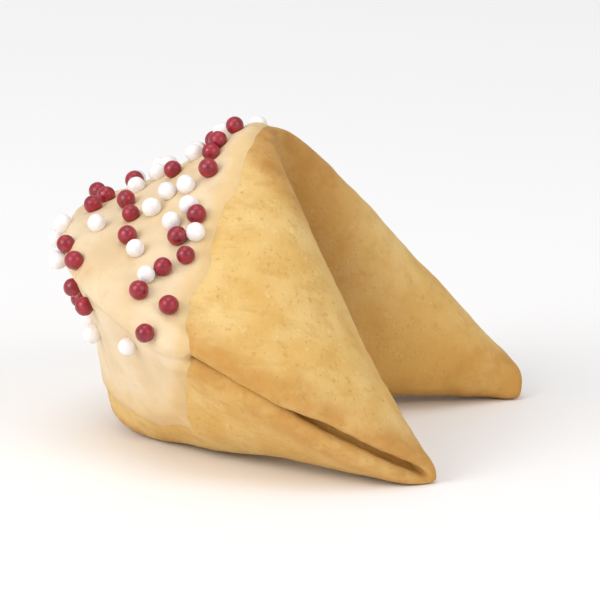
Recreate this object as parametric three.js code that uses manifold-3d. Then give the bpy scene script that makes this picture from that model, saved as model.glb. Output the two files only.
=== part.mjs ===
// A fortune cookie, half dipped in white chocolate, with red and white sugar balls stuck to the dip.
//
// The cookie is one round wafer. It is baked flat and folded while it is hot: over into a
// half-moon, a little off the centre, with the rims pinched, and then bent in the middle round a
// bar, until its two horns point forward. The code does the same. It starts from a flat disc and
// lets the disc settle, as a thin sheet that is hard to stretch and easier to bend, while the horns
// are drawn together. Then it gives the sheet its thickness and stands the cookie on the table.
//
// Millimetres, +Z up. The horns point to -Y, the round back with the rims faces +Y, and the origin
// is on the table under the middle of the cookie.

import * as THREE from 'three';
import { mergeVertices } from 'three/addons/utils/BufferGeometryUtils.js';
import Module from 'manifold-3d';

// Driving dimensions of the wafer and of its folding
const WAFER_RADIUS = 42;
const WAFER_THICKNESS = 1.9;
const FOLD_OFFSET = 2.5;
const BAR_RADIUS = 3;
const HORN_ANGLE = 60;
const HORN_REACH = 0.985 * WAFER_RADIUS;
const RIM_GAP = 0.5;
const EDGE_ROUNDING = 0.5;
const FRONT_LIMIT = -20;
const FLAT_SPOT_DEPTH = 0.6;

// Driving dimensions of the dip and of the sugar balls
const SKIN_GAP = 0.3;
const SKIN_THICKNESS = 0.8;
const SEAM_BULGE = 0.6;
const DIP_TILT = 6;
const DIP_PLACE = 5.4;
const DIP_FLOOR = 4;
const BALL_DIAMETER = 2.1;
const BALL_SINK = 0.35;
const BALL_LIFT = SKIN_GAP + SKIN_THICKNESS + BALL_DIAMETER / 2 - BALL_SINK;
const BALL_SPACING = 0.95 * BALL_DIAMETER;
const BALL_DIRECTIONS = 380;
const BALL_CENTRE_HEIGHT = 16;
const BALL_SHAKE = 0.5;
const BALL_SEED = 7;
const LOWEST_BALL = 12;
const GOLDEN_ANGLE = Math.PI * (3 - Math.sqrt(5));

// How finely the wafer is divided
const RING_COUNT = 18;
const FIRST_OPENING = 175;
const OPENING_STEP = 8;
const STEPS_PER_OPENING = 220;
const LAST_STEPS = 900;

// How strongly the sheet and the things that hold it push back
const STRETCH = 3;
const BENDING = WAFER_THICKNESS * WAFER_THICKNESS / 12;
const BAR_PUSH = 9;
const LAYER_PUSH = 3;
const PINCH = 1;
const HORN_PULL = 30;
const CENTRE_HOLD = 0.5;

const radians = THREE.MathUtils.degToRad;

// The flat wafer: rings of points, the same on both sides of the fold line, which is the X axis
function flatWafer() {
  const points = [[0, 0]];
  const rings = [[0]];
  for (let ring = 1; ring <= RING_COUNT; ring++) {
    const half = Math.max(2, Math.round(Math.PI * ring));
    const radius = WAFER_RADIUS * ring / RING_COUNT;
    const indices = [];
    for (let step = 0; step < 2 * half; step++) {
      const angle = Math.PI * step / half;
      const across = step % half === 0 ? 0 : Math.sin(angle);
      const reach = across > 0 ? WAFER_RADIUS + FOLD_OFFSET : WAFER_RADIUS - FOLD_OFFSET;
      indices.push(points.length);
      points.push([radius * Math.cos(angle), radius * across * reach / WAFER_RADIUS]);
    }
    rings.push(indices);
  }
  const triangles = [];
  for (let ring = 0; ring < RING_COUNT; ring++) {
    joinRings(rings[ring], rings[ring + 1], triangles);
  }
  const opposite = points.map((_, index) => index);
  for (const indices of rings.slice(1)) {
    indices.forEach((point, step) => {
      opposite[point] = indices[(indices.length - step) % indices.length];
    });
  }
  return { points, triangles, opposite, rim: rings[RING_COUNT] };
}

// A band of triangles between two rings that may have different numbers of points
function joinRings(inner, outer, triangles) {
  let i = 0;
  let o = 0;
  while (o < outer.length || (inner.length > 1 && i < inner.length)) {
    const stepOuter = inner.length === 1 || i === inner.length
      || (o < outer.length && (o + 1) / outer.length <= (i + 1) / inner.length);
    const a = inner[i % inner.length];
    const b = outer[o % outer.length];
    if (stepOuter) {
      triangles.push([a, b, outer[(o + 1) % outer.length]]);
      o++;
    } else {
      triangles.push([a, b, inner[(i + 1) % inner.length]]);
      i++;
    }
  }
}

// Every edge of the sheet with its rest length, its share of the area and its bending weight
function sheetEdges({ points, triangles }) {
  const edges = new Map();
  const pointArea = new Float64Array(points.length);
  for (const triangle of triangles) {
    const corners = triangle.map((index) => points[index]);
    const area = Math.abs(cross(corners[0], corners[1], corners[2])) / 2;
    triangle.forEach((index) => { pointArea[index] += area / 3; });
    for (let k = 0; k < 3; k++) {
      const [a, b] = [triangle[(k + 1) % 3], triangle[(k + 2) % 3]];
      const key = Math.min(a, b) * points.length + Math.max(a, b);
      const u = [points[a][0] - corners[k][0], points[a][1] - corners[k][1]];
      const v = [points[b][0] - corners[k][0], points[b][1] - corners[k][1]];
      const cotangent = (u[0] * v[0] + u[1] * v[1]) / (2 * area);
      const length = Math.hypot(u[0] - v[0], u[1] - v[1]);
      const edge = edges.get(key) ?? { a, b, length, area: 0, weight: 0 };
      edge.area += area / 3;
      edge.weight += cotangent / 2;
      edges.set(key, edge);
    }
  }
  return { edges: [...edges.values()], pointArea };
}

function cross(origin, a, b) {
  return (a[0] - origin[0]) * (b[1] - origin[1]) - (a[1] - origin[1]) * (b[0] - origin[0]);
}

// The half-moon that the folding starts from: both halves turned up round the fold line
function halfMoon({ points }) {
  const foldRadius = 7;
  const turn = Math.PI / 2 + 0.12;
  const x = new Float64Array(points.length * 3);
  points.forEach(([along, across], index) => {
    const reach = Math.abs(across);
    const angle = Math.min(reach / foldRadius, turn);
    const rest = Math.max(0, reach - foldRadius * turn);
    x[index * 3] = along;
    x[index * 3 + 1] = foldRadius * (1 - Math.cos(angle)) + rest * Math.sin(turn);
    x[index * 3 + 2] = Math.sign(across) * (foldRadius * Math.sin(angle) + rest * Math.cos(turn));
  });
  return x;
}

// Pull along every edge that is longer or shorter than it was when baked
function stretching(sheet, x, slope) {
  let energy = 0;
  for (const edge of sheet.edges) {
    const i = edge.a * 3;
    const j = edge.b * 3;
    const dx = x[i] - x[j];
    const dy = x[i + 1] - x[j + 1];
    const dz = x[i + 2] - x[j + 2];
    const length = Math.sqrt(dx * dx + dy * dy + dz * dz);
    const strain = length / edge.length - 1;
    energy += 0.5 * STRETCH * edge.area * strain * strain;
    addForce(slope, i, j, STRETCH * edge.area * strain / edge.length / length, dx, dy, dz);
  }
  return energy;
}

function addForce(slope, i, j, size, dx, dy, dz) {
  slope[i] += size * dx;
  slope[i + 1] += size * dy;
  slope[i + 2] += size * dz;
  slope[j] -= size * dx;
  slope[j + 1] -= size * dy;
  slope[j + 2] -= size * dz;
}

// Differences over every edge, weighted, summed at its two ends
function gather(edges, from, into) {
  into.fill(0);
  for (const edge of edges) {
    const i = edge.a * 3;
    const j = edge.b * 3;
    for (let k = 0; k < 3; k++) {
      const difference = edge.weight * (from[i + k] - from[j + k]);
      into[i + k] += difference;
      into[j + k] -= difference;
    }
  }
}

// The sheet bends unwillingly, everywhere but across its free rim
function bending(sheet, x, slope) {
  const { edges, looseness, curl, back } = sheet;
  gather(edges, x, curl);
  let energy = 0;
  for (let i = 0; i < curl.length; i++) {
    const force = BENDING * looseness[(i - i % 3) / 3] * curl[i];
    energy += 0.5 * force * curl[i];
    curl[i] = force;
  }
  gather(edges, curl, back);
  for (let i = 0; i < back.length; i++) {
    slope[i] += back[i];
  }
  return energy;
}

// An upright bar makes the bend in the fold line, and no part of the sheet enters it
function barContact(sheet, x, slope) {
  const clear = BAR_RADIUS + WAFER_THICKNESS / 2;
  let energy = 0;
  for (const point of sheet.inner) {
    const i = point * 3;
    const dy = x[i + 1] + clear;
    const distance = Math.hypot(x[i], dy);
    const depth = clear - distance;
    if (depth > 0) {
      energy += 0.5 * BAR_PUSH * depth * depth;
      slope[i] -= BAR_PUSH * depth * x[i] / distance;
      slope[i + 1] -= BAR_PUSH * depth * dy / distance;
    }
  }
  return energy;
}

// The upper and the lower layer keep a wafer's thickness apart, and their rims are pinched
function layerContact(sheet, x, slope) {
  let energy = 0;
  for (const [upper, lower] of sheet.layers) {
    const depth = WAFER_THICKNESS - (x[upper * 3 + 2] - x[lower * 3 + 2]);
    if (depth > 0) {
      energy += 0.5 * LAYER_PUSH * depth * depth;
      slope[upper * 3 + 2] -= LAYER_PUSH * depth;
      slope[lower * 3 + 2] += LAYER_PUSH * depth;
    }
  }
  for (const [upper, lower] of sheet.rimPairs) {
    const i = upper * 3;
    const j = lower * 3;
    const dx = x[i] - x[j];
    const dy = x[i + 1] - x[j + 1];
    const dz = x[i + 2] - x[j + 2];
    const apart = Math.sqrt(dx * dx + dy * dy + dz * dz);
    const excess = apart - (RIM_GAP + WAFER_THICKNESS);
    if (excess > 0) {
      energy += 0.5 * PINCH * excess * excess;
      addForce(slope, i, j, PINCH * excess / apart, dx, dy, dz);
    }
  }
  return energy;
}

// Two hands hold the horns at the angle of the moment, and the middle keeps its height
function hands(sheet, x, slope, opening) {
  const half = radians(opening) / 2;
  let energy = 0.5 * CENTRE_HOLD * x[2] * x[2];
  slope[2] += CENTRE_HOLD * x[2];
  for (const [tip, side] of sheet.tips) {
    const target = [side * HORN_REACH * Math.sin(half), -HORN_REACH * Math.cos(half), 0];
    for (let k = 0; k < 3; k++) {
      const off = x[tip * 3 + k] - target[k];
      energy += 0.5 * HORN_PULL * off * off;
      slope[tip * 3 + k] += HORN_PULL * off;
    }
  }
  return energy;
}

function dot(a, b) {
  let sum = 0;
  for (let i = 0; i < a.length; i++) {
    sum += a[i] * b[i];
  }
  return sum;
}

function addScaled(into, from, size) {
  for (let i = 0; i < into.length; i++) {
    into[i] += size * from[i];
  }
}

// The way downhill from here, by what the last steps told about how the slope turns
function downhill(slope, history) {
  const way = Float64Array.from(slope, (value) => -value);
  const shares = [];
  for (const { move, turn, scale } of history.toReversed()) {
    const share = scale * dot(move, way);
    shares.push(share);
    addScaled(way, turn, -share);
  }
  const last = history.at(-1);
  if (last) {
    const size = dot(last.move, last.turn) / dot(last.turn, last.turn);
    way.forEach((value, i) => { way[i] = value * size; });
  }
  for (const { move, turn, scale } of history) {
    addScaled(way, move, shares.pop() - scale * dot(turn, way));
  }
  return way;
}

// Lets the sheet settle: limited-memory quasi-Newton steps with a halving line search
function settle(measure, start, steps) {
  const remembered = 16;
  let x = start;
  let slope = new Float64Array(x.length);
  let energy = measure(x, slope);
  const history = [];
  for (let step = 0; step < steps; step++) {
    let way = downhill(slope, history);
    if (dot(way, slope) >= 0) {
      history.length = 0;
      way = downhill(slope, history);
    }
    const fall = dot(way, slope);
    let stride = history.length ? 1 : 1 / Math.sqrt(dot(slope, slope));
    let next;
    let nextSlope;
    let nextEnergy = Infinity;
    while (nextEnergy > energy + 1e-4 * stride * fall && stride > 1e-9) {
      next = Float64Array.from(x);
      addScaled(next, way, stride);
      nextSlope = new Float64Array(x.length);
      nextEnergy = measure(next, nextSlope);
      stride /= 2;
    }
    if (nextEnergy >= energy) {
      break;
    }
    const move = next.map((value, i) => value - x[i]);
    const turn = nextSlope.map((value, i) => value - slope[i]);
    const agreement = dot(move, turn);
    if (agreement > 1e-12) {
      history.push({ move, turn, scale: 1 / agreement });
      history.splice(0, history.length - remembered);
    }
    [x, slope, energy] = [next, nextSlope, nextEnergy];
  }
  return x;
}

// Folds the flat wafer and bends it, opening angle by opening angle
function foldWafer(flat) {
  const { edges, pointArea } = sheetEdges(flat);
  const rim = new Set(flat.rim);
  const pairs = flat.points.flatMap(([, across], index) => (
    across > 0 ? [[index, flat.opposite[index], across]] : []));
  const half = flat.rim.length / 2;
  const sheet = {
    edges,
    looseness: pointArea.map((area, index) => (rim.has(index) ? 0 : 1 / area)),
    curl: new Float64Array(flat.points.length * 3),
    back: new Float64Array(flat.points.length * 3),
    inner: flat.points.flatMap((point, index) => (
      Math.hypot(...point) < 0.9 * WAFER_RADIUS ? [index] : [])),
    layers: pairs.filter(([, , across]) => across > 2.5 * WAFER_THICKNESS),
    rimPairs: pairs.filter(([upper]) => rim.has(upper)),
    tips: [[flat.rim[0], 1], [flat.rim[half], -1]],
  };
  const measure = (opening) => (x, slope) => stretching(sheet, x, slope)
    + bending(sheet, x, slope) + barContact(sheet, x, slope) + layerContact(sheet, x, slope)
    + hands(sheet, x, slope, opening);
  let x = halfMoon(flat);
  for (let opening = FIRST_OPENING; opening > HORN_ANGLE; opening -= OPENING_STEP) {
    x = settle(measure(opening), x, STEPS_PER_OPENING);
  }
  return settle(measure(HORN_ANGLE), x, LAST_STEPS);
}

// The folded sheet as vectors, with its outward normals and, at the rim, the way off the edge
function surface(flat, x) {
  const places = flat.points.map((_, i) => new THREE.Vector3(x[i * 3], x[i * 3 + 1], x[i * 3 + 2]));
  const normals = places.map(() => new THREE.Vector3());
  for (const [a, b, c] of flat.triangles) {
    const u = places[b].clone().sub(places[a]);
    const v = places[c].clone().sub(places[a]);
    const area = u.cross(v);
    [a, b, c].forEach((index) => normals[index].add(area));
  }
  normals.forEach((normal) => normal.normalize());
  const away = new Map();
  flat.rim.forEach((point, step) => {
    const before = places[flat.rim.at(step - 1)];
    const after = places[flat.rim[(step + 1) % flat.rim.length]];
    away.set(point, after.clone().sub(before).cross(normals[point]).normalize());
  });
  return { places, normals, away };
}

function offsetPoint(place, direction, distance) {
  return place.clone().addScaledVector(direction, distance);
}

// The wafer as a closed body: outer face, inner face and a rounded edge all round the rim
function waferSolid(flat, { places, normals, away }) {
  const half = WAFER_THICKNESS / 2;
  const outer = places.map((place, i) => offsetPoint(place, normals[i], half));
  const inner = places.map((place, i) => offsetPoint(place, normals[i], -half));
  const edge = flat.rim.map((point) => offsetPoint(places[point], away.get(point), EDGE_ROUNDING));
  const count = places.length;
  const triangles = flat.triangles.flatMap(([a, b, c]) => [
    [a, b, c],
    [count + a, count + c, count + b],
  ]);
  flat.rim.forEach((point, step) => {
    const next = (step + 1) % flat.rim.length;
    const after = flat.rim[next];
    addBand(triangles, [point, after], [2 * count + step, 2 * count + next]);
    addBand(triangles, [2 * count + step, 2 * count + next], [count + point, count + after]);
  });
  return { points: [...outer, ...inner, ...edge], triangles };
}

function addBand(triangles, [a, b], [c, d]) {
  triangles.push([a, c, b], [b, c, d]);
}

// A closed bag round the whole cookie, a little off its outer face and closed over the two rims
function bagSolid(flat, surfaces, distance) {
  const points = surfaces.places.map((place, i) => (
    offsetPoint(place, surfaces.normals[i], distance)));
  const triangles = [...flat.triangles];
  const half = flat.rim.length / 2;
  const seam = [];
  for (let step = 0; step <= half; step++) {
    const upper = flat.rim[step];
    const lower = flat.opposite[upper];
    if (upper === lower) {
      seam.push([upper]);
    } else {
      const between = overSeam(surfaces, upper, lower, distance);
      seam.push([upper, ...between.map((_, k) => points.length + k), lower]);
      points.push(...between);
    }
  }
  for (let step = 0; step < half; step++) {
    closeSeam(triangles, seam[step], seam[step + 1]);
  }
  return { points, triangles };
}

// Three points over the seam: off the upper edge, off the middle and off the lower edge
function overSeam({ places, normals, away }, upper, lower, distance) {
  const middle = places[upper].clone().add(places[lower]).multiplyScalar(0.5);
  const off = away.get(upper).clone().add(away.get(lower)).normalize();
  const [above, below] = [upper, lower].map((point) => (
    offsetPoint(places[point], normals[point].clone().add(off).normalize(), distance)));
  return [above, offsetPoint(middle, off, distance + SEAM_BULGE), below];
}

// One step of the band over the seam. At the two ends of the fold line it comes to a point
function closeSeam(triangles, here, next) {
  const last = Math.max(here.length, next.length) - 1;
  for (let k = 0; k < last; k++) {
    if (here.length > 1) {
      triangles.push([here[k], here[k + 1], next[Math.min(k, next.length - 1)]]);
    }
    if (next.length > 1) {
      triangles.push([here[Math.min(k + 1, here.length - 1)], next[k + 1], next[k]]);
    }
  }
}

// The angle that brings the tips of the horns and the belly to the table at once
function restingAngle(points) {
  const lowest = (angle, front) => {
    const heights = points
      .filter((point) => (point.y < FRONT_LIMIT) === front)
      .map((point) => point.y * Math.sin(angle) + point.z * Math.cos(angle));
    return Math.min(...heights);
  };
  let flatter = 0;
  let steeper = radians(60);
  for (let round = 0; round < 40; round++) {
    const angle = (flatter + steeper) / 2;
    if (lowest(angle, true) > lowest(angle, false)) {
      flatter = angle;
    } else {
      steeper = angle;
    }
  }
  return flatter;
}

// Stands every point on the table, with small flat spots where the cookie bears on it
function standing(flat, surfaces) {
  const { points } = waferSolid(flat, surfaces);
  const turn = new THREE.Matrix4().makeRotationX(restingAngle(points));
  const box = new THREE.Box3().setFromPoints(points.map((point) => point.applyMatrix4(turn)));
  const middle = box.getCenter(new THREE.Vector3());
  const down = new THREE.Matrix4().makeTranslation(
    -middle.x, -middle.y, -box.min.z - FLAT_SPOT_DEPTH);
  return down.multiply(turn);
}

function stand(solid, matrix) {
  solid.points.forEach((point) => {
    point.applyMatrix4(matrix);
    point.z = Math.max(0, point.z);
  });
  return solid;
}

function toGeometry({ points, triangles }) {
  const geometry = new THREE.BufferGeometry().setFromPoints(points);
  geometry.setIndex(triangles.flat());
  return geometry;
}

const wasm = await Module();
wasm.setup();

function toManifold(geometry) {
  return new wasm.Manifold(new wasm.Mesh({
    numProp: 3,
    vertProperties: Float32Array.from(geometry.attributes.position.array),
    triVerts: Uint32Array.from(geometry.index.array),
  }));
}

function fromManifold(solid) {
  const { numProp, vertProperties, triVerts } = solid.getMesh();
  const places = new Float32Array(vertProperties.length / numProp * 3);
  for (let i = 0; i < places.length / 3; i++) {
    places.set(vertProperties.subarray(i * numProp, i * numProp + 3), i * 3);
  }
  const geometry = new THREE.BufferGeometry();
  geometry.setAttribute('position', new THREE.BufferAttribute(places, 3));
  geometry.setIndex([...triVerts]);
  return geometry;
}

// A large block behind a face that passes through the table line at the place given
function blockBehind(tilt, place) {
  const size = 4 * WAFER_RADIUS;
  const box = new THREE.BoxGeometry(size, size, size);
  box.deleteAttribute('normal');
  box.deleteAttribute('uv');
  const block = mergeVertices(box);
  block.translate(0, size / 2, 0);
  block.rotateX(radians(tilt));
  block.translate(place.x, place.y, place.z);
  return toManifold(block);
}

// What went into the chocolate: behind the dip line, and above the belly, which was wiped
function dipped(solid) {
  const behind = blockBehind(DIP_TILT, new THREE.Vector3(0, DIP_PLACE, 0));
  const above = blockBehind(90, new THREE.Vector3(0, 0, DIP_FLOOR));
  return solid.intersect(behind).intersect(above);
}

// The chocolate: a thin skin over both layers and over the seam between their rims
function chocolateSkin(flat, surfaces, matrix) {
  const inside = WAFER_THICKNESS / 2 + SKIN_GAP;
  const bags = [inside, inside + SKIN_THICKNESS].map((distance) => (
    toManifold(toGeometry(stand(bagSolid(flat, surfaces, distance), matrix)))));
  return dipped(bags[1].subtract(bags[0]));
}

// A number between 0 and 1 that looks random and is the same each time
function draw(index, salt) {
  const wave = Math.sin(index * 12.9898 + salt * 78.233 + BALL_SEED) * 43758.5453;
  return wave - Math.floor(wave);
}

// Where the sugar balls stick: directions spread evenly round the middle of the cookie, each
// shaken a little, and kept where they meet the dip and leave the other balls room
function ballPlaces(wafer) {
  const mesh = new THREE.Mesh(wafer, new THREE.MeshBasicMaterial());
  const middle = new THREE.Vector3(0, 0, BALL_CENTRE_HEIGHT);
  const caster = new THREE.Raycaster();
  const places = [];
  for (let i = 0; i < BALL_DIRECTIONS; i++) {
    const height = 1 - 2 * (i + draw(i, 1)) / BALL_DIRECTIONS;
    const turn = i * GOLDEN_ANGLE + BALL_SHAKE * (draw(i, 2) - 0.5);
    const level = Math.sqrt(1 - height * height);
    const way = new THREE.Vector3(level * Math.cos(turn), level * Math.sin(turn), height);
    caster.set(offsetPoint(middle, way, 3 * WAFER_RADIUS), way.clone().negate());
    const [hit] = caster.intersectObject(mesh);
    const place = hit && offsetPoint(hit.point, hit.face.normal, BALL_LIFT);
    if (place && onDip(place) && clearOf(place, places)) {
      places.push(place);
    }
  }
  return places;
}

function onDip({ y, z }) {
  const tilt = radians(DIP_TILT);
  const depth = (y - DIP_PLACE) * Math.cos(tilt) + z * Math.sin(tilt);
  return depth > BALL_DIAMETER && z > LOWEST_BALL;
}

function clearOf(place, places) {
  return places.every((other) => other.distanceTo(place) > BALL_SPACING);
}

// Each ball is fused to the skin it sits in, and what stays loose is dropped
function skinWithBalls(skin, places) {
  const ball = new THREE.IcosahedronGeometry(BALL_DIAMETER / 2, 0);
  ball.deleteAttribute('normal');
  ball.deleteAttribute('uv');
  const round = mergeVertices(ball);
  const joined = places.reduce((sum, place, index) => {
    const turned = round.clone();
    turned.rotateX(Math.PI * draw(index, 3));
    turned.rotateZ(Math.PI * draw(index, 4));
    turned.translate(place.x, place.y, place.z);
    return sum.add(toManifold(turned));
  }, skin);
  return largestPiece(joined);
}

function largestPiece(solid) {
  const pieces = solid.decompose();
  return pieces.reduce((best, piece) => (piece.volume() > best.volume() ? piece : best));
}

function named(name, geometry, material) {
  const mesh = new THREE.Mesh(geometry, material);
  mesh.name = name;
  return mesh;
}

const bakedWafer = new THREE.MeshStandardMaterial({
  color: 0xdeb566, roughness: 0.72, metalness: 0,
});
const whiteChocolate = new THREE.MeshStandardMaterial({
  color: 0xf3e3c0, roughness: 0.45, metalness: 0,
});

const flat = flatWafer();
const surfaces = surface(flat, foldWafer(flat));
const matrix = standing(flat, surfaces);
const wafer = toGeometry(stand(waferSolid(flat, surfaces), matrix));
const skin = chocolateSkin(flat, surfaces, matrix);
const dip = fromManifold(skinWithBalls(skin, ballPlaces(wafer)));

const cookie = new THREE.Group();
cookie.add(named('folded_wafer', wafer, bakedWafer));
cookie.add(named('chocolate_dip', dip, whiteChocolate));
const middle = new THREE.Box3().setFromObject(cookie).getCenter(new THREE.Vector3());
cookie.position.set(-middle.x, -middle.y, 0);

export default cookie;
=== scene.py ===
# %% [markdown]
# A fortune cookie, half dipped in white chocolate
# The cookie is one round wafer, folded over while it was hot, pinched at its rims and bent in the
# middle, so that it has two horns with a gap between them and a hollow inside. Its round back was
# dipped in white chocolate, and small red and white sugar balls were scattered on the dip.
# This lesson loads the plain model of the cookie and gives each of its parts its real surface.

# %% Load the plain model
import math

import bmesh
import bpy
import numpy as np
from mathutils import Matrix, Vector, noise
from mathutils.bvhtree import BVHTree
from mathutils.kdtree import KDTree


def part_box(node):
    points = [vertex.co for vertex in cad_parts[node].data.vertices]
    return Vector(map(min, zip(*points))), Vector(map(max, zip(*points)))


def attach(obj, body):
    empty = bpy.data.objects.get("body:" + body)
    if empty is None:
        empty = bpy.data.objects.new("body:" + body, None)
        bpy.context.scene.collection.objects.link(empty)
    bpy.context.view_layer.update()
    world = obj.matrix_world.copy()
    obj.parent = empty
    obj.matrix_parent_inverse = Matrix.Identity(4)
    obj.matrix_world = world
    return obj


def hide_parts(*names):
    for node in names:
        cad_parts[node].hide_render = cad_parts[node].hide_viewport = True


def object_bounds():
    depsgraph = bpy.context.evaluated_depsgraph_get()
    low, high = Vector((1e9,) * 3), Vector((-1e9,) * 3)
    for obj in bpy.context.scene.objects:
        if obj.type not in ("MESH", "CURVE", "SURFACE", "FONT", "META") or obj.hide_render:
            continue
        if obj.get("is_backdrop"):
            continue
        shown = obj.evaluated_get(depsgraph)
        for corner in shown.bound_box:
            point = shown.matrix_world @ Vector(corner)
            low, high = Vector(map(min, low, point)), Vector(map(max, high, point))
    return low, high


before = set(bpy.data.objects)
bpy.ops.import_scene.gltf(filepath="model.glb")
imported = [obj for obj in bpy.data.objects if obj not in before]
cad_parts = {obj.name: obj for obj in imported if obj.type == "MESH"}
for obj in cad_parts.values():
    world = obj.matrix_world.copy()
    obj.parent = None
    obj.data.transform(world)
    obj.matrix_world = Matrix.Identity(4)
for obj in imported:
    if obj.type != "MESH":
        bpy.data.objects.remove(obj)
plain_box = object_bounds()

MM = 0.001
wafer_low, wafer_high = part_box("folded_wafer")
wafer_middle_y = (wafer_low.y + wafer_high.y) / 2
print("cookie box in mm", [round(side / MM, 1) for side in plain_box[1] - plain_box[0]])

# %% [markdown]
# The colours as the eye sees them are given as three pairs of hexadecimal digits. Blender wants
# light itself, which is linear, so one small function turns the one into the other by the usual
# curve of screens. The plain view setting keeps pale, warm colours as they are; the filmic one
# greys them.

# %% Colours
def seen(code):
    """A colour as it is seen, such as "E0B566", as linear light with an alpha of 1."""
    shares = [int(code[i:i + 2], 16) / 255 for i in (0, 2, 4)]
    linear = [s / 12.92 if s <= 0.04045 else ((s + 0.055) / 1.055) ** 2.4 for s in shares]
    return (*linear, 1.0)


bpy.context.scene.view_settings.view_transform = "Standard"
print("a warm gold as light", [round(part, 2) for part in seen("E0B566")])

# %% [markdown]
# The photograph was taken from far off with a long lens, a little above the table, from the left
# side of the cookie. The camera stands the same way here, and its lens is longer still, so that
# the cookie fills the picture. The two aims say where the middle of the picture falls on the
# cookie: so far to the right and so far up, seen from the camera.

# %% Camera
VIEW_AZIMUTH = math.radians(-76)
VIEW_ELEVATION = math.radians(12)
CAMERA_DISTANCE = 744 * MM
CAMERA_LENS = 400
SENSOR_WIDTH = 36
NEAREST_SEEN = 50 * MM
FARTHEST_SEEN = 20000 * MM
AIM_RIGHT = 2.1 * MM
AIM_UP = 14.4 * MM

towards_camera = Vector((
    math.sin(VIEW_AZIMUTH) * math.cos(VIEW_ELEVATION),
    -math.cos(VIEW_AZIMUTH) * math.cos(VIEW_ELEVATION),
    math.sin(VIEW_ELEVATION),
))
camera_right = Vector((math.cos(VIEW_AZIMUTH), math.sin(VIEW_AZIMUTH), 0))
camera_up = towards_camera.cross(camera_right)
aim = Vector((0, wafer_middle_y, 0)) + AIM_RIGHT * camera_right + AIM_UP * camera_up

camera_data = bpy.data.cameras.new("photo_camera")
camera_data.lens = CAMERA_LENS
camera_data.sensor_width = SENSOR_WIDTH
camera_data.clip_start = NEAREST_SEEN
camera_data.clip_end = FARTHEST_SEEN
camera = bpy.data.objects.new("photo_camera", camera_data)
camera.location = aim + CAMERA_DISTANCE * towards_camera
camera.rotation_mode = "QUATERNION"
camera.rotation_quaternion = (-towards_camera).to_track_quat("-Z", "Y")
bpy.context.scene.collection.objects.link(camera)
bpy.context.scene.camera = camera
print("camera at", [round(c / MM) for c in camera.location], "mm")

# %% [markdown]
# Shader maths reads best as plain expressions. This class wraps one socket of a material, and
# each operator adds the Math node that does it. The reflected forms let a number stand first.

# %% Arithmetic on sockets
class Wire:
    """One output socket of a material, with arithmetic on it."""

    def __init__(self, tree, socket):
        self.tree = tree
        self.socket = socket

    @staticmethod
    def plug(tree, value, socket):
        if isinstance(value, Wire):
            tree.links.new(value.socket, socket)
        else:
            socket.default_value = value

    @classmethod
    def maths(cls, tree, operation, *values):
        node = tree.nodes.new("ShaderNodeMath")
        node.operation = operation
        for value, socket in zip(values, node.inputs):
            cls.plug(tree, value, socket)
        return cls(tree, node.outputs[0])

    def __add__(self, other):
        return Wire.maths(self.tree, "ADD", self, other)

    __radd__ = __add__

    def __mul__(self, other):
        return Wire.maths(self.tree, "MULTIPLY", self, other)

    __rmul__ = __mul__

    def __sub__(self, other):
        return Wire.maths(self.tree, "SUBTRACT", self, other)

    def __rsub__(self, other):
        return Wire.maths(self.tree, "SUBTRACT", other, self)


print("sockets add, multiply and subtract")

# %% [markdown]
# A material starts as one Principled shader. What stays the same all over is set on the shader
# itself, and the methods add what varies: noise and cells of a size in millimetres, values that
# were painted on the mesh, smooth steps, mixed colours and fine relief. A picture wrapped round
# the cookie would need a flat layout of its surface; noise in space needs none.

# %% A material under construction
class Finish:
    """A material, built up node by node."""

    def __init__(self, name, **constants):
        self.material = bpy.data.materials.new(name)
        self.material.use_nodes = True
        self.tree = self.material.node_tree
        self.shader = self.tree.nodes["Principled BSDF"]
        for socket, value in constants.items():
            self.shader.inputs[socket.replace("_", " ")].default_value = value

    def node(self, kind, settings=None, inputs=None, output=0):
        node = self.tree.nodes.new(kind)
        for setting, value in (settings or {}).items():
            setattr(node, setting, value)
        for socket, value in (inputs or {}).items():
            Wire.plug(self.tree, value, node.inputs[socket])
        return Wire(self.tree, node.outputs[output])

    def place(self):
        return self.node("ShaderNodeTexCoord", output="Object")

    def noise(self, size, detail=3, roughness=0.55, distortion=0.0, stretch=(1, 1, 1)):
        """Soft noise whose blobs are about so many millimetres across."""
        place = self.node("ShaderNodeVectorMath", {"operation": "MULTIPLY"},
                          {0: self.place(), 1: stretch})
        return self.node("ShaderNodeTexNoise", inputs={
            "Vector": place, "Scale": 1 / (size * MM), "Detail": detail,
            "Roughness": roughness, "Distortion": distortion,
        })

    def cells(self, size):
        """Distance to the nearest of many points, so many millimetres apart."""
        return self.node("ShaderNodeTexVoronoi", inputs={
            "Vector": self.place(), "Scale": 1 / (size * MM),
        })

    def painted(self, name):
        """A value that was painted on the corners of the mesh."""
        return self.node("ShaderNodeAttribute", {"attribute_name": name}, output="Fac")

    def ramp(self, value, low, high, to_low=0.0, to_high=1.0):
        """A smooth step between two values."""
        return self.node(
            "ShaderNodeMapRange", {"interpolation_type": "SMOOTHSTEP"},
            {"Value": value, "From Min": low, "From Max": high, "To Min": to_low,
             "To Max": to_high})

    def blend(self, share, first, second):
        """Two colours, mixed by a share from 0 to 1."""
        first_socket, second_socket, colour_output = 6, 7, 2
        return self.node(
            "ShaderNodeMix", {"data_type": "RGBA"},
            {0: share, first_socket: first, second_socket: second}, colour_output)

    def bump(self, height, depth, strength):
        """Relief of so many millimetres."""
        return self.node("ShaderNodeBump", inputs={
            "Height": height, "Distance": depth * MM, "Strength": strength})

    def feed(self, **sockets):
        for socket, value in sockets.items():
            Wire.plug(self.tree, value, self.shader.inputs[socket.replace("_", " ")])
        return self.material


print("material helpers ready")

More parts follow.
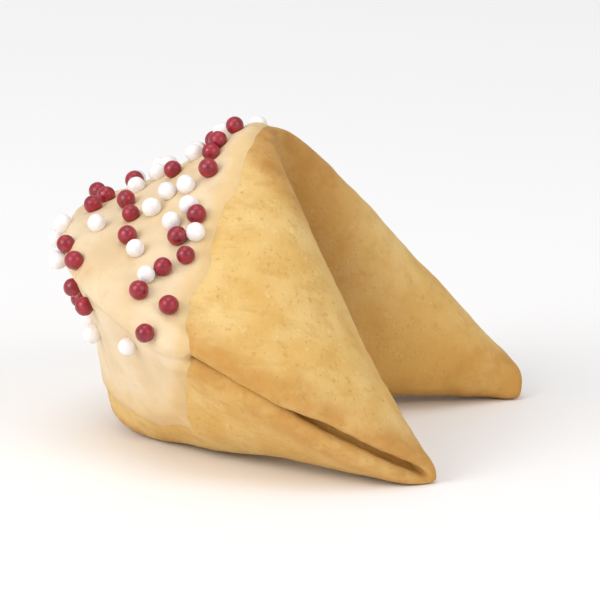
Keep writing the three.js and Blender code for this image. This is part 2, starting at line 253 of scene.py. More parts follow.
# %% [markdown]
# Every piece starts as a mesh, either of the plain model or made from a few numbers. These
# helpers link a mesh to the scene, merge the loose triangles of a plain node, apply modifiers and
# hand the corners over as arrays, so that a whole surface is moved or painted in one step.

# %% Handling pieces and meshes
MERGE_DISTANCE = 0.001 * MM


def linked(name, mesh):
    piece = bpy.data.objects.new(name, mesh)
    bpy.context.scene.collection.objects.link(piece)
    return piece


def merged_copy(node):
    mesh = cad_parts[node].data.copy()
    mesh.materials.clear()
    work = bmesh.new()
    work.from_mesh(mesh)
    bmesh.ops.remove_doubles(work, verts=work.verts, dist=MERGE_DISTANCE)
    return mesh, work


def applied(piece):
    """The piece's mesh with its modifiers applied, put in its place."""
    shape = piece.evaluated_get(bpy.context.evaluated_depsgraph_get())
    mesh = bpy.data.meshes.new_from_object(shape)
    piece.modifiers.clear()
    piece.data = mesh
    return mesh


def corners(mesh):
    places = np.empty(len(mesh.vertices) * 3, np.float32)
    mesh.vertices.foreach_get("co", places)
    normals = np.empty(len(mesh.vertices) * 3, np.float32)
    mesh.vertex_normals.foreach_get("vector", normals)
    return places.reshape(-1, 3).astype(float), normals.reshape(-1, 3).astype(float)


def moved(mesh, places):
    mesh.vertices.foreach_set("co", places.astype(np.float32).ravel())
    mesh.update()


def painted_on(mesh, name, values):
    layer = mesh.attributes.new(name, "FLOAT", "POINT")
    layer.data.foreach_set("value", values.astype(np.float32))


coarse_mesh, coarse = merged_copy("folded_wafer")
print("plain wafer", len(coarse.verts), "corners and", len(coarse.faces), "faces")

# %% [markdown]
# The wafer has an outer and an inner surface, which meet at its cut rim. The outer faces are
# those that are reached from the highest one without crossing a sharp edge, and the rim is where
# they end. Later steps ask how far a place is from the rim, so points along it go into a tree,
# each with the way its outer face looks and the way the rim runs there.

# %% Outer faces and rim of the wafer
SHARP_EDGE = math.radians(38)
RIM_SHARES = (0, 0.2, 0.4, 0.6, 0.8)


def outer_faces(work):
    """The faces that are reached from the highest one without crossing a sharp edge."""
    work.faces.ensure_lookup_table()
    start = max(work.faces, key=lambda face: face.calc_center_median().z)
    found = {start.index}
    waiting = [start]
    while waiting:
        for edge in waiting.pop().edges:
            if edge.calc_face_angle(math.pi) < SHARP_EDGE:
                for face in edge.link_faces:
                    if face.index not in found:
                        found.add(face.index)
                        waiting.append(face)
    return found


outward = outer_faces(coarse)
rim_places = []
rim_normals = []
rim_tangents = []
for edge in coarse.edges:
    outer = [face for face in edge.link_faces if face.index in outward]
    if len(outer) == 1:
        start, end = [corner.co for corner in edge.verts]
        for share in RIM_SHARES:
            rim_places.append(start.lerp(end, share))
            rim_normals.append(outer[0].normal.copy())
            rim_tangents.append(end - start)
rim_tree = KDTree(len(rim_places))
for number, place in enumerate(rim_places):
    rim_tree.insert(place, number)
rim_tree.balance()
coarse_shape = BVHTree.FromBMesh(coarse)
print("outward faces", len(outward), "rim points", len(rim_places))

# %% [markdown]
# Folding laid one half of the rim on the other half. For each point of the rim, the point of the
# other layer that it faces is the nearest one whose outer face looks the other way.

# %% The rim that faces the rim
FACING_REACH = 8
FACING_AWAY = -0.1


def facing_place(number):
    """The place on the other layer's rim that lies nearest, if there is one in reach."""
    place = rim_places[number]
    facing = [rim_places[other]
              for _, other, _ in rim_tree.find_range(place, FACING_REACH * MM)
              if rim_normals[other].dot(rim_normals[number]) < FACING_AWAY]
    return min(facing, key=lambda point: (point - place).length, default=None)


opposite = [facing_place(number) for number in range(len(rim_places))]
print("rim points that face another", sum(other is not None for other in opposite))

# %% [markdown]
# The plain wafer is made of flat triangles about two millimetres wide. A subdivision surface
# rounds it, and also rounds its cut edge as baking does. A remesh would be simpler, but it eats
# the thin lips at the horns.

# %% The wafer as smooth surface
SMOOTHING_LEVELS = 2

coarse.to_mesh(coarse_mesh)
coarse.free()
wafer = linked("baked_wafer", coarse_mesh)
smoothing = wafer.modifiers.new("smoothing", "SUBSURF")
smoothing.levels = SMOOTHING_LEVELS
smoothing.render_levels = SMOOTHING_LEVELS
smooth_mesh = applied(wafer)
smooth_places, smooth_normals = corners(smooth_mesh)
print("smooth faces", len(smooth_mesh.polygons))

# %% [markdown]
# Relief and colour change from place to place on a baked wafer: they depend on how far a place is
# from the rim and from the tip of a horn, and on whether it looks outward. These facts are worked
# out once for every corner. The foremost corner is the tip of one horn, the other tip lies at the
# same place on the other side, and the distance from them is taken as seen from above.

# %% Facts on every corner
found = [rim_tree.find(place) for place in smooth_places]
nearest_rim = np.array([number for _, number, _ in found])
from_rim = np.array([distance for _, _, distance in found]) / MM
nearest_faces = [coarse_shape.find_nearest(Vector(place))[2] for place in smooth_places]
outside = np.array([face in outward for face in nearest_faces])
foremost = smooth_places[np.argmin(smooth_places[:, 1])]
from_tip = np.hypot(np.abs(smooth_places[:, 0]) - abs(foremost[0]),
                    smooth_places[:, 1] - foremost[1]) / MM
print("corners looking outward", int(outside.sum()), "of", len(outside))

# %% [markdown]
# A baked wafer isn't an even sheet. It is a little blistered, and thinner where the batter ran.
# Noise of three sizes lifts or lowers the corners by tenths of a millimetre, and one long thin
# blister lies on the upper lip near one horn. The finest pores are left to the material, because
# corners would have to be far closer together for them.

# %% Blisters of the wafer
BLISTERS = ((9.0, 0.22, 1), (4.0, 0.12, 2), (1.6, 0.045, 3))
FLAKE = ((-28.5, -6.4, 11.0), (-27.6, -12.6, 8.3))
FLAKE_HEIGHT = 0.45
FLAKE_WIDTH = 0.8
FLAKE_TAPER = 2


def soft_noise(places, size, seed):
    """Noise between -1 and 1 with blobs of about so many millimetres."""
    shift = Vector((seed * 17.3, seed * 5.1, seed * 9.7))
    step = 1 / (size * MM)
    return np.array([noise.noise(Vector(place) * step + shift) for place in places])


def layered_noise(places, layers):
    """Several noises, each with its own size, height and seed, on top of each other."""
    return sum(height * soft_noise(places, size, seed) for size, height, seed in layers)


def smoothstep(value, low, high):
    share = np.clip((value - low) / (high - low), 0, 1)
    return share * share * (3 - 2 * share)


def band(value, rise_start, rise_end, fall_start, fall_end):
    """A share that rises from 0 to 1, stays there and falls to 0 again."""
    return smoothstep(value, rise_start, rise_end) * (1 - smoothstep(value, fall_start, fall_end))


def flake(places):
    """A long thin blister on the upper lip near one horn, where the batter ran over."""
    start, end = [np.array(point) for point in FLAKE]
    length = np.linalg.norm(end - start)
    along = (end - start) / length
    from_start = places / MM - np.array([0, wafer_middle_y / MM, 0]) - start
    run = from_start @ along
    off = np.linalg.norm(from_start - run[:, None] * along, axis=1)
    ends = band(run, -FLAKE_TAPER / 2, FLAKE_TAPER / 2, length - FLAKE_TAPER, length)
    return FLAKE_HEIGHT * ends * np.exp(-(off / FLAKE_WIDTH) ** 2)


raised = layered_noise(smooth_places, BLISTERS) + flake(smooth_places)
print("relief from", round(float(raised.min()), 2), "to", round(float(raised.max()), 2), "mm")

# %% [markdown]
# The two lips were pinched while they were soft, so they meet, except at the horns, where they
# spring open at the very edge and meet a few millimetres further in. The plain wafer keeps a gap
# there. Rays that start between the lips, a little inside the rim, measure it on both sides. The
# gap is then evened out along the rim, because single rays jump.

# %% The gap between the lips
LIP_DEPTH = 1.3
GAP_REACH = 3
EVENING_REACH = 3

cookie_middle = Vector((0, wafer_middle_y, wafer_high.z / 2))


def gap_between(number):
    """How far apart the lips are, a little inside the rim, and the way across to the other."""
    place, other = rim_places[number], opposite[number]
    if other is None:
        return 0, Vector()
    across = (other - place).normalized()
    away = across.cross(rim_tangents[number]).normalized()
    if away.dot(place - cookie_middle) < 0:
        away = -away
    middle = (place + other) / 2 - away * LIP_DEPTH * MM
    reached = [coarse_shape.ray_cast(middle, way, GAP_REACH * MM)[3] for way in (across, -across)]
    return (0 if None in reached else sum(reached) / MM), across


def evened(values):
    """Each point's value as the mean over the rim near it."""
    near = [[other for _, other, _ in rim_tree.find_range(place, EVENING_REACH * MM)]
            for place in rim_places]
    return np.array([values[others].mean() for others in near])


measured = [gap_between(number) for number in range(len(rim_places))]
gaps = np.array([gap for gap, _ in measured])
ways_across = np.array([way[:] for _, way in measured])
print("gap between the lips", round(float(np.median(gaps)), 2), "mm")

# %% [markdown]
# Now the inner corners close the gap half from each side. Near the rim that makes the pinched
# seam. At the horns it happens further in, in the throat behind the open lips, where every corner
# looks across with a ray of its own. Both press a hair further than they must, so that the sides
# touch. Then the wafer takes its shape, and what would sink below the table is lifted onto it.

# %% The pinched lips
OPEN_END = (12, 19)
LIP_BAND = (0.2, 1.8, 2.6, 6)
LIP_PRESS = 0.03
THROAT_BAND = (2.2, 3.6, 10, 14)
THROAT_END = (19, 24)
THROAT_REACH = 7
THROAT_PRESS = 0.13
RAY_START = 0.2
LEAST_SHARE = 0.01


def lip_closing():
    """How far each corner near the rim goes across, in millimetres."""
    share = band(from_rim, *LIP_BAND) * smoothstep(from_tip, *OPEN_END) * ~outside
    return share * (evened(gaps)[nearest_rim] / 2 + LIP_PRESS)


def throat_closing(places, across):
    """How far each corner behind the open lips of a horn goes across, in millimetres."""
    share = band(from_rim, *THROAT_BAND) * ~outside * (1 - smoothstep(from_tip, *THROAT_END))
    amount = np.zeros(len(places))
    for number in np.flatnonzero(share > LEAST_SHARE):
        way = Vector(across[number])
        start = Vector(places[number]) + way * RAY_START * MM
        apart = coarse_shape.ray_cast(start, way, THROAT_REACH * MM)[3]
        if apart is not None:
            amount[number] = share[number] * (apart / MM / 2 + THROAT_PRESS)
    return amount


across = ways_across[nearest_rim]
closing = np.maximum(lip_closing(), throat_closing(smooth_places, across))
rounded = smooth_places + smooth_normals * (raised * MM)[:, None] + across * (closing * MM)[:, None]
rounded[:, 2] = np.maximum(rounded[:, 2], 0)
moved(smooth_mesh, rounded)
smooth_mesh.shade_smooth()
print("lips close by up to", round(float(closing.max()), 2), "mm from each side")

# %% [markdown]
# The wafer browned most at its rim, where it was thinnest and driest. Its ridges look browner
# too, where folding stretched and rubbed it. The flanks that face each other and the crease
# between them get painted shade, a deeper gold and a dark brown for the shade and the warm
# bounced light between the lobes. The inside of the slit gets painted light, a paler gold where
# little light gets in. These shares are painted on the corners of the mesh, because they follow
# the shape, and noise alone doesn't know it.

# %% Where the wafer browned, and where shade and light are painted
RIM_BROWNING = 2.4
RIM_WANDER = (7, 0.5, 4)
INSIDE_DEPTH = (1.8, 4.5)
FLANK_TURN = (-0.1, 0.8)
CREASE_WIDTH = 7.5
CREASE_END = (-6, 8)
RIDGE_ROUNDS = 14
RIDGE_PERCENTILES = (80, 98)


def ridges(mesh, places, normals):
    """How much each corner stands out from the corners round it, evened out over the mesh."""
    ends = np.empty(len(mesh.edges) * 2, np.int32)
    mesh.edges.foreach_get("vertices", ends)
    first, second = ends.reshape(-1, 2).T
    span = places[second] - places[first]
    count = np.bincount(ends, minlength=len(places))
    out = -np.bincount(first, (span * normals[first]).sum(1), len(places))
    out += np.bincount(second, (span * normals[second]).sum(1), len(places))
    out /= count
    for _ in range(RIDGE_ROUNDS):
        total = np.bincount(first, out[second], len(places))
        total += np.bincount(second, out[first], len(places))
        out = (out + total / count) / 2
    return smoothstep(out, *np.percentile(out, RIDGE_PERCENTILES))


side = np.sign(smooth_places[:, 0])
behind_middle = (smooth_places[:, 1] - wafer_middle_y) / MM
wander = 1 + layered_noise(smooth_places, [RIM_WANDER])
shares = {
    "browning": np.exp(-(from_rim / (RIM_BROWNING * wander)) ** 2),
    # Painted light: a paler gold inside the slit, where little light gets in.
    "inside": smoothstep(from_rim, *INSIDE_DEPTH) * ~outside,
    # Painted shade on the flanks that face each other.
    "flank_shade": smoothstep(-side * smooth_normals[:, 0], *FLANK_TURN) * outside,
    # Painted shade in the crease between the lobes.
    "crease_shade": np.exp(-(smooth_places[:, 0] / MM / CREASE_WIDTH) ** 2)
    * (1 - smoothstep(behind_middle, *CREASE_END)),
    "ridge": ridges(smooth_mesh, smooth_places, smooth_normals),
}
for name, share in shares.items():
    painted_on(smooth_mesh, name, share)
    print("mean share of", name, round(float(share.mean()), 3))

# %% [markdown]
# Close up, the gold of the wafer is mottled, with streaks where the batter was spread, fine brown
# freckles and pale flour dust. Each is one noise with a colour of its own, laid over the one
# before, and the painted shares come last: the browned rim and ridges, then painted shade on the
# facing flanks, painted light inside the slit and painted shade in the crease. Pores and grain
# are relief in the material. A little light goes through the crumb, as it does through the real
# one.

# %% Finish of the wafer
PALE_GOLD = seen("E1BF7D")
WARM_GOLD = seen("D6AC60")
MOTTLED_GOLD = seen("CC9C4C")
FLOUR_DUST = seen("F4DBA6")
BATTER_STREAK = seen("C4964C")
FRECKLE = seen("B57A30")
BROWNED_RIM = seen("C08A40")
BROWNED_RIDGE = seen("BE8840")
# Painted shade on the flanks that face each other.
FLANK_SHADE_GOLD = seen("DBA54C")
# Painted light inside the slit, where little light gets in.
INSIDE_LIGHT_GOLD = seen("FFD27A")
# Painted shade in the crease between the lobes.
CREASE_SHADE_BROWN = seen("8E540A")


def baked_gold(finish):
    """The gold of an evenly baked place."""
    clouds = finish.ramp(finish.noise(11, 2), 0.35, 0.68)
    gold = finish.blend(clouds, PALE_GOLD, WARM_GOLD)
    mottle = finish.ramp(finish.noise(2.6, 4, 0.6), 0.42, 0.7)
    gold = finish.blend(mottle * 0.45, gold, MOTTLED_GOLD)
    dust = finish.ramp(finish.noise(1.3, 3, 0.6), 0.56, 0.78)
    gold = finish.blend(dust * 0.4, gold, FLOUR_DUST)
    streaks = finish.ramp(finish.noise(2.0, 4, 0.6, 0.4, (1, 0.35, 1)), 0.5, 0.68)
    gold = finish.blend(streaks * 0.4, gold, BATTER_STREAK)
    freckles = finish.ramp(finish.noise(0.75, 2, 0.5), 0.62, 0.72)
    return finish.blend(freckles * 0.35, gold, FRECKLE)


def wafer_finish():
    finish = Finish("baked_wafer", Specular_IOR_Level=0.32, Subsurface_Weight=0.12,
                    Subsurface_Scale=0.0015, Subsurface_Radius=(1.0, 0.5, 0.2))
    brown = finish.painted("browning") * finish.ramp(finish.noise(3.5, 3), 0.3, 0.62, 0.2, 0.8)
    colour = finish.blend(brown, baked_gold(finish), BROWNED_RIM)
    rubbed = finish.painted("ridge") * finish.ramp(finish.noise(2.5, 3), 0.3, 0.7, 0.3, 0.8)
    colour = finish.blend(rubbed, colour, BROWNED_RIDGE)
    # Painted shade: the flanks that face each other get a deeper gold.
    colour = finish.blend(finish.painted("flank_shade") * 0.4, colour, FLANK_SHADE_GOLD)
    # Painted light: the inside of the slit gets a paler gold, where little light reaches it.
    colour = finish.blend(finish.painted("inside") * 0.8, colour, INSIDE_LIGHT_GOLD)
    # Painted shade: the crease between the lobes gets a dark brown.
    colour = finish.blend(finish.painted("crease_shade") * 0.75, colour, CREASE_SHADE_BROWN)
    pores = finish.ramp(finish.cells(0.9), 0.08, 0.3)
    grain = finish.noise(0.45, 3, 0.65)
    waves = finish.noise(2.2, 3, 0.5)
    return finish.feed(
        Base_Color=colour,
        Roughness=finish.ramp(grain, 0.3, 0.7, 0.58, 0.78),
        Normal=finish.bump(pores * 0.35 + grain * 0.5 + waves * 1.2, 0.16, 0.8),
    )


smooth_mesh.materials.append(wafer_finish())
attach(wafer, "root")
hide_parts("folded_wafer")
print("wafer has", len(smooth_mesh.vertices), "corners")

# %% [markdown]
# The cookie was held by its horns and dipped back first, a little askew, so the edge of the
# chocolate is a tilted plane. Noise makes it wander as a dipped edge does, and the belly that the
# cookie rests on stayed bare.

# %% The edge of the dip
DIP_TILT = math.radians(6)
DIP_PLACE = 5.4
DIP_FLOOR = 4
DIP_WANDER = ((7, 1.3, 5), (2.5, 0.5, 6))


def dip_depth(places):
    """Millimetres behind the dip plane; negative in front of it or below the dipped part."""
    along = (places[:, 1] - wafer_middle_y) / MM - DIP_PLACE
    height = places[:, 2] / MM
    behind = along * math.cos(DIP_TILT) + height * math.sin(DIP_TILT)
    return np.minimum(behind, height - DIP_FLOOR)


def dip_line(places):
    """Millimetres behind the wandering edge of the dip."""
    return dip_depth(places) + layered_noise(places, DIP_WANDER)


behind_edge = dip_line(rounded) > 0
print("share of the corners behind the edge of the dip", round(float(behind_edge.mean()), 2))

# %% [markdown]
# The white chocolate is a swollen copy of the wafer. Behind the edge of the dip its outer faces
# stand about half a millimetre proud, and everywhere else they lie just inside the wafer, where
# they don't show. The inside of the bend faces forward and stayed out of the chocolate, so it is
# bare. A skin of even thickness would look like plastic, so soft noise thickens and thins it.

# %% Thickness of the coat
COAT_THICKNESS = 0.6
COAT_HIDDEN = -0.25
COAT_WAVES = ((5, 0.3, 7), (2, 0.15, 8))
COAT_EDGE = (-0.8, 1.6)
FACING_FORWARD = (-0.1, 0.2)
FACING_INWARD = (0.2, 0.5)
BEND_TOP = (29, 32)
RIM_COATED = 1.2


def in_bend(places, normals):
    """How much each place belongs to the inside of the bend."""
    forward = smoothstep(-normals[:, 1], *FACING_FORWARD)
    inward = smoothstep(-np.sign(places[:, 0]) * normals[:, 0], *FACING_INWARD)
    return np.maximum(forward, inward) * (1 - smoothstep(places[:, 2] / MM, *BEND_TOP))


def coat_amount(places, normals, is_coated):
    """How far the coat stands off the wafer at each place, in millimetres."""
    edge = smoothstep(dip_line(places), *COAT_EDGE) * (1 - in_bend(places, normals))
    thick = COAT_THICKNESS * (1 + layered_noise(places, COAT_WAVES))
    return np.where(is_coated, COAT_HIDDEN + edge * (thick - COAT_HIDDEN), COAT_HIDDEN)


amount = coat_amount(rounded, smooth_normals, outside | (from_rim < RIM_COATED))
coat_mesh = smooth_mesh.copy()
coat_mesh.materials.clear()
moved(coat_mesh, rounded + smooth_normals * (amount * MM)[:, None])
print("coat up to", round(float(amount.max()), 2), "mm thick")

# %% [markdown]
# Chocolate ran in between the two lips of the seam and filled it. A row of beads along the middle
# of the seam stands for it, which a remesh then melts into the rest. Beads and sugar balls are
# both spheres, and many spheres are quickest as one mesh that repeats the faces of a single one.

# %% Chocolate in the seam
SEAM_BEAD = 1.45
SEAM_START = (-0.5, 3)
LEAST_BEAD = 0.3
BEAD_DETAIL = 2


def seam_beads():
    """The middle of the seam behind the dip line, between one rim and the rim facing it."""
    middles = [(place + other) / 2 for place, other in zip(rim_places, opposite) if other]
    sizes = smoothstep(dip_line(np.array(middles)), *SEAM_START)
    return [(middle, SEAM_BEAD * size) for middle, size in zip(middles, sizes)
            if size > LEAST_BEAD]


def unit_sphere(detail):
    work = bmesh.new()
    bmesh.ops.create_icosphere(work, subdivisions=detail, radius=1)
    places = np.array([corner.co[:] for corner in work.verts])
    faces = np.array([[corner.index for corner in face.verts] for face in work.faces])
    work.free()
    return places, faces


def many_spheres(name, faces, all_places):
    """One mesh of many spheres that share their faces but not their places."""
    count = len(all_places[0])
    all_faces = np.concatenate([faces + number * count for number in range(len(all_places))])
    mesh = bpy.data.meshes.new(name)
    mesh.from_pydata(np.concatenate(all_places).tolist(), [], all_faces.tolist())
    return mesh


def add_beads(mesh, beads):
    sphere, faces = unit_sphere(BEAD_DETAIL)
    drops = [np.array(middle) + sphere * radius * MM for middle, radius in beads]
    work = bmesh.new()
    work.from_mesh(mesh)
    work.from_mesh(many_spheres("drops", faces, drops))
    work.to_mesh(mesh)
    work.free()


beads = seam_beads()
add_beads(coat_mesh, beads)
print("beads in the seam", len(beads))

# %% [markdown]
# A voxel remesh joins the swollen wafer and the beads into one skin, and a little ironing takes
# out its steps. Then two cuts drop the part that lies hidden inside the wafer, in front of the
# dip and below it. The edge of the coat comes out thin, rounded and wandering.

# %% The coat as one skin
COAT_VOXEL = 0.33
IRONING_SHARE = 0.5
IRONING_ROUNDS = 6
CUT_MARGIN = 2.5
MOST_CORNERS = 4


def cut_before(mesh, distance):
    """Drops what lies so far in front of the dip plane or below it, and closes the cuts."""
    work = bmesh.new()
    work.from_mesh(mesh)
    for place, normal in (
        (Vector((0, wafer_middle_y + (DIP_PLACE - distance) * MM, 0)),
         Vector((0, math.cos(DIP_TILT), math.sin(DIP_TILT)))),
        (Vector((0, 0, (DIP_FLOOR - distance) * MM)), Vector((0, 0, 1))),
    ):
        everything = [*work.verts, *work.edges, *work.faces]
        cut = bmesh.ops.bisect_plane(work, geom=everything, plane_co=place, plane_no=normal,
                                     clear_inner=True)
        rim = [item for item in cut["geom_cut"] if isinstance(item, bmesh.types.BMEdge)]
        bmesh.ops.holes_fill(work, edges=rim)
    wide = [face for face in work.faces if len(face.verts) > MOST_CORNERS]
    bmesh.ops.triangulate(work, faces=wide)
    work.to_mesh(mesh)
    work.free()


coat = linked("white_coat", coat_mesh)
remesh = coat.modifiers.new("join", "REMESH")
remesh.mode = "VOXEL"
remesh.voxel_size = COAT_VOXEL * MM
ironing = coat.modifiers.new("ironing", "SMOOTH")
ironing.factor = IRONING_SHARE
ironing.iterations = IRONING_ROUNDS
coat_mesh = applied(coat)
cut_before(coat_mesh, CUT_MARGIN)
coat_mesh.shade_smooth()
print("coat has", len(coat_mesh.polygons), "faces")

# %% [markdown]
# Where the coat runs out it is so thin that the golden wafer shows through it. How far each
# corner lies behind the edge of the dip is painted on it, and the material lets the colour of
# the wafer through there. The chocolate itself is a warm cream, never pure white, and it has the
# soft waves and smears that a quick dip leaves.

# %% Finish of the coat
COVER_DEPTH = (-0.5, 5.0)
CREAM = seen("E4CEAA")
DEEP_CREAM = seen("DCC095")
SMEARED_CREAM = seen("D8B583")
THIN_EDGE = seen("DEB97C")

painted_on(coat_mesh, "cover", smoothstep(dip_line(corners(coat_mesh)[0]), *COVER_DEPTH))


def coat_finish():
    finish = Finish("white_chocolate", Specular_IOR_Level=0.42, Subsurface_Weight=0.2,
                    Subsurface_Scale=0.002, Subsurface_Radius=(1.0, 0.7, 0.4))
    clouds = finish.ramp(finish.noise(8, 2), 0.35, 0.7)
    cream = finish.blend(clouds, CREAM, DEEP_CREAM)
    smear = finish.ramp(finish.noise(2.4, 3, 0.6), 0.5, 0.75)
    cream = finish.blend(smear * 0.5, cream, SMEARED_CREAM)
    patches = finish.noise(3, 3) * 0.9 - 0.45
    cover = finish.ramp(finish.painted("cover") + patches, 0.1, 0.75, 0.25, 1.0)
    waves = finish.noise(1.8, 3, 0.5) * 1.4 + finish.noise(0.5, 2) * 0.3
    return finish.feed(
        Base_Color=finish.blend(cover, THIN_EDGE, cream),
        Roughness=finish.ramp(finish.noise(3, 2), 0.3, 0.7, 0.42, 0.6),
        Normal=finish.bump(waves, 0.12, 0.7),
    )


coat_mesh.materials.append(coat_finish())
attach(coat, "root")
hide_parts("chocolate_dip")
print("coat finished")

# %% [markdown]
# The sugar balls are about two millimetres across. Each has its place by the same rule as in the
# plain model: directions spread evenly by the golden angle and shaken a little, followed inward
# to the wafer. A direction counts when it meets the dip and leaves the balls before it room. A
# second, sparser round, seen from the middle of each lobe, fills the largest gaps on the flanks.
# No chocolate holds a ball on the inside of the bend, so none sticks there.

# %% Places of the sugar balls
BALL_DIAMETER = 2.1
BALL_DIRECTIONS = 380
BALL_MIDDLE = (0, 0, 16)
BALL_SHAKE = 0.5
BALL_SEED = 7
BALL_SPACING = 0.95 * BALL_DIAMETER
LOWEST_BALL = 12
PLAIN_GAP = 0.3
PLAIN_SKIN = 0.8
PLAIN_SINK = 0.35
PLAIN_LIFT = PLAIN_GAP + PLAIN_SKIN + BALL_DIAMETER / 2 - PLAIN_SINK
MORE_DIRECTIONS = 120
MORE_FROM = 1252
MORE_MIDDLE = (14, 4, 24)
FACING_BEND = -0.3
GOLDEN_ANGLE = math.pi * (3 - math.sqrt(5))
FAR_OUT = 126 * MM
FOR_HEIGHT, FOR_TURN, FOR_COLOUR = 1, 2, 5


def draw(number, salt):
    """A number between 0 and 1 that looks random and is the same each time."""
    wave = math.sin(number * 12.9898 + salt * 78.233 + BALL_SEED) * 43758.5453
    return wave - math.floor(wave)


def direction(number, start, directions):
    """One of so many directions, counted from a start."""
    height = 1 - 2 * (number - start + draw(number, FOR_HEIGHT)) / directions
    turn = number * GOLDEN_ANGLE + BALL_SHAKE * (draw(number, FOR_TURN) - 0.5)
    level = math.sqrt(max(0, 1 - height * height))
    return Vector((level * math.cos(turn), level * math.sin(turn), height))


def on_dip(place):
    return dip_depth(np.array([place]))[0] > BALL_DIAMETER and place.z / MM > LOWEST_BALL


def scatter(directions, start, middle_of_lobe, taken):
    """Adds to the balls taken: the place, the number, and whether chocolate holds it there."""
    side, depth, rise = middle_of_lobe
    for number in range(start, start + directions):
        way = direction(number, start, directions)
        middle = Vector((math.copysign(side, way.x), depth, rise)) * MM
        middle.y += wafer_middle_y
        point, normal, _, _ = coarse_shape.ray_cast(middle + way * FAR_OUT, -way)
        if point is None:
            continue
        place = point + normal * PLAIN_LIFT * MM
        free = all((place - other).length > BALL_SPACING * MM for other, _, _ in taken)
        if on_dip(place) and free:
            taken.append((place, number, normal.y > FACING_BEND))


taken = []
scatter(BALL_DIRECTIONS, 0, BALL_MIDDLE, taken)
plain_count = len(taken)
scatter(MORE_DIRECTIONS, MORE_FROM, MORE_MIDDLE, taken)
balls = [(place, number) for place, number, held in taken if held]
print("directions taken", plain_count, "and", len(taken) - plain_count)
print("sugar balls that stick", len(balls))

# %% [markdown]
# A sugar ball is built up by tumbling a grain of sugar in syrup, so it is nearly round but never
# quite. Each one is an icosphere, a little squashed, turned its own way and sunk into the nearest
# place of the coat. The balls of one colour are joined into one piece.

# %% The sugar balls
BALL_DETAIL = 3
BALL_SINK = 0.4
BALL_SQUASH = 0.07
LUMP_HEIGHT = 0.02
LUMPS_ACROSS = 1.7
SMALLEST_BALL = 0.93
SIZE_SPREAD = 0.12
RED_SHARE = 0.5
FOR_SQUASH = (11, 12, 13)
FOR_AROUND, FOR_OVER, FOR_SIZE = 14, 15, 16


def turned(places, number):
    """The ball's own squash, lumps and turn."""
    squash = np.array([1 + BALL_SQUASH * (draw(number, salt) - 0.5) for salt in FOR_SQUASH])
    shift = Vector((number, 0, 0))
    lumps = 1 + LUMP_HEIGHT * np.array([noise.noise(Vector(place) * LUMPS_ACROSS + shift)
                                        for place in places])
    around = 2 * math.pi * draw(number, FOR_AROUND)
    over = math.pi * draw(number, FOR_OVER)
    about_z = np.array([[math.cos(around), -math.sin(around), 0],
                        [math.sin(around), math.cos(around), 0], [0, 0, 1]])
    about_x = np.array([[1, 0, 0], [0, math.cos(over), -math.sin(over)],
                        [0, math.sin(over), math.cos(over)]])
    return (places * squash * lumps[:, None]) @ about_x.T @ about_z.T


def joined_balls(name, chosen):
    sphere, faces = unit_sphere(BALL_DETAIL)
    grains = []
    for place, number in chosen:
        radius = BALL_DIAMETER / 2 * (SMALLEST_BALL + SIZE_SPREAD * draw(number, FOR_SIZE))
        seat, normal, _, _ = coat_shape.find_nearest(place)
        centre = np.array(seat + normal * (radius - BALL_SINK) * MM)
        grains.append(centre + turned(sphere, number) * radius * MM)
    mesh = many_spheres(name, faces, grains)
    mesh.shade_smooth()
    return linked(name, mesh)


coat_shape = BVHTree.FromPolygons([corner.co for corner in coat_mesh.vertices],
                                  [face.vertices[:] for face in coat_mesh.polygons])
reds = [ball for ball in balls if draw(ball[1], FOR_COLOUR) < RED_SHARE]
whites = [ball for ball in balls if draw(ball[1], FOR_COLOUR) >= RED_SHARE]
red_balls = joined_balls("red_sugar_balls", reds)
white_balls = joined_balls("white_sugar_balls", whites)
print("red", len(reds), "white", len(whites))

# %% [markdown]
# The balls have a hard, slightly glossy shell of sugar. Its colour is a little uneven, because
# each turn in the drum adds a thin layer, and its gloss is worn where balls rubbed on each other.
# Both colours are the same finish with other values.

# %% Finish of the sugar
RED_SHELL, RED_SHADE, RED_ROUGHNESS = "A0142C", "7E0A1E", 0.3
WHITE_SHELL, WHITE_SHADE, WHITE_ROUGHNESS = "F8F5F4", "EDE8E8", 0.35
ROUGHNESS_SPREAD = 0.15


def sugar_finish(name, shell, shade, rough):
    finish = Finish(name, Specular_IOR_Level=0.5, Coat_Roughness=0.2)
    clouds = finish.ramp(finish.noise(0.9, 2), 0.35, 0.68)
    worn = finish.noise(0.5, 2)
    return finish.feed(
        Base_Color=finish.blend(clouds, seen(shell), seen(shade)),
        Roughness=finish.ramp(worn, 0.3, 0.7, rough, rough + ROUGHNESS_SPREAD),
        Coat_Weight=finish.ramp(finish.noise(1.1, 1), 0.4, 0.6, 0.2, 0.45),
        Normal=finish.bump(finish.noise(0.35, 2), 0.03, 0.6),
    )


red_balls.data.materials.append(
    sugar_finish("red_sugar", RED_SHELL, RED_SHADE, RED_ROUGHNESS))
white_balls.data.materials.append(
    sugar_finish("white_sugar", WHITE_SHELL, WHITE_SHADE, WHITE_ROUGHNESS))
for piece, slot in ((red_balls, "red_sugar"), (white_balls, "white_sugar")):
    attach(piece, "root")
    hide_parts("chocolate_dip")
    print(piece.name, "has", len(piece.data.polygons), "faces")

# %% [markdown]
# The cookie stands on a plain white floor. It is so wide that its edge never shows, and matt
# enough to carry the cookie's shadow without mirroring it.

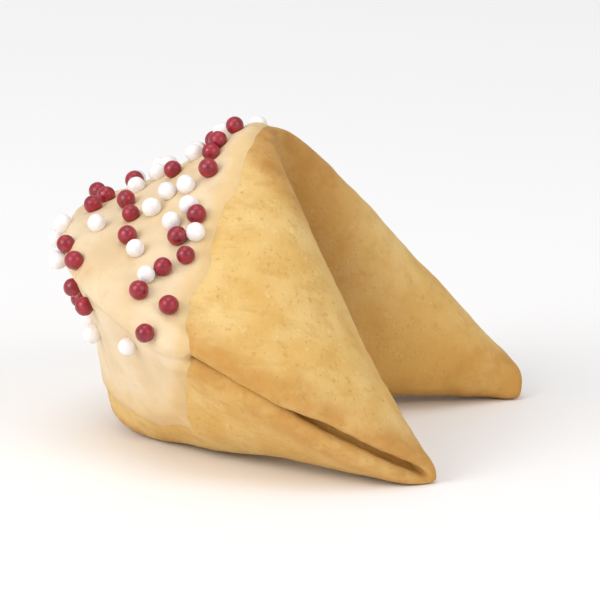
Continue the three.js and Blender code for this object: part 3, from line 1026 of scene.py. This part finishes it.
# %% Floor
FLOOR_SIZE = 6.0
FLOOR_WHITE = seen("FBFAFA")

half = FLOOR_SIZE / 2
floor_mesh = bpy.data.meshes.new("floor")
floor_mesh.from_pydata([(-half, -half, 0), (half, -half, 0), (half, half, 0), (-half, half, 0)],
                       [], [(0, 1, 2, 3)])
floor = linked("floor", floor_mesh)
floor_finish = Finish("white_floor", Roughness=0.6, Specular_IOR_Level=0.2)
floor_mesh.materials.append(floor_finish.feed(Base_Color=FLOOR_WHITE))
floor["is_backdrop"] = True
print("floor", FLOOR_SIZE, "m wide")

# %% [markdown]
# The light is that of a bright studio. A large lamp on the left of the camera models the lobes,
# one overhead keeps the floor white, a wide weaker one fills from the right, and the bright
# surroundings keep the shadows pale. Each lamp is placed as seen from the camera, in metres.

# %% Light
LAMPS = (
    ("key", -0.80, 0.42, 0.62, 0.7, 7.2),
    ("top", -0.10, 1.30, 0.10, 0.8, 4.2),
    ("fill", 0.90, 0.45, 0.90, 0.9, 4.4),
)
SURROUNDINGS = 0.55


def lamp(name, right, up, back, size, watts):
    """A square soft lamp, so far to the right, up and back from the cookie, that looks at it."""
    data = bpy.data.lights.new(name, "AREA")
    data.size = size
    data.energy = watts
    light = bpy.data.objects.new(name, data)
    way = right * camera_right + up * Vector((0, 0, 1)) + back * towards_camera
    light.location = aim + way
    light.rotation_mode = "QUATERNION"
    light.rotation_quaternion = (-way).to_track_quat("-Z", "Y")
    bpy.context.scene.collection.objects.link(light)


for settings in LAMPS:
    lamp(*settings)
world = bpy.data.worlds.new("studio")
world.use_nodes = True
surroundings = world.node_tree.nodes["Background"]
surroundings.inputs["Color"].default_value = (1, 1, 1, 1)
surroundings.inputs["Strength"].default_value = SURROUNDINGS
bpy.context.scene.world = world
print("lamps", [settings[0] for settings in LAMPS])

# %% [markdown]
# Last, the size of the finished cookie is written beside the size of the plain one, so that the
# two can be compared.

# %% Sizes
finished_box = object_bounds()
for name, box in (("plain", plain_box), ("finished", finished_box)):
    print(name, [round(c / MM, 2) for c in box[0]], [round(c / MM, 2) for c in box[1]])
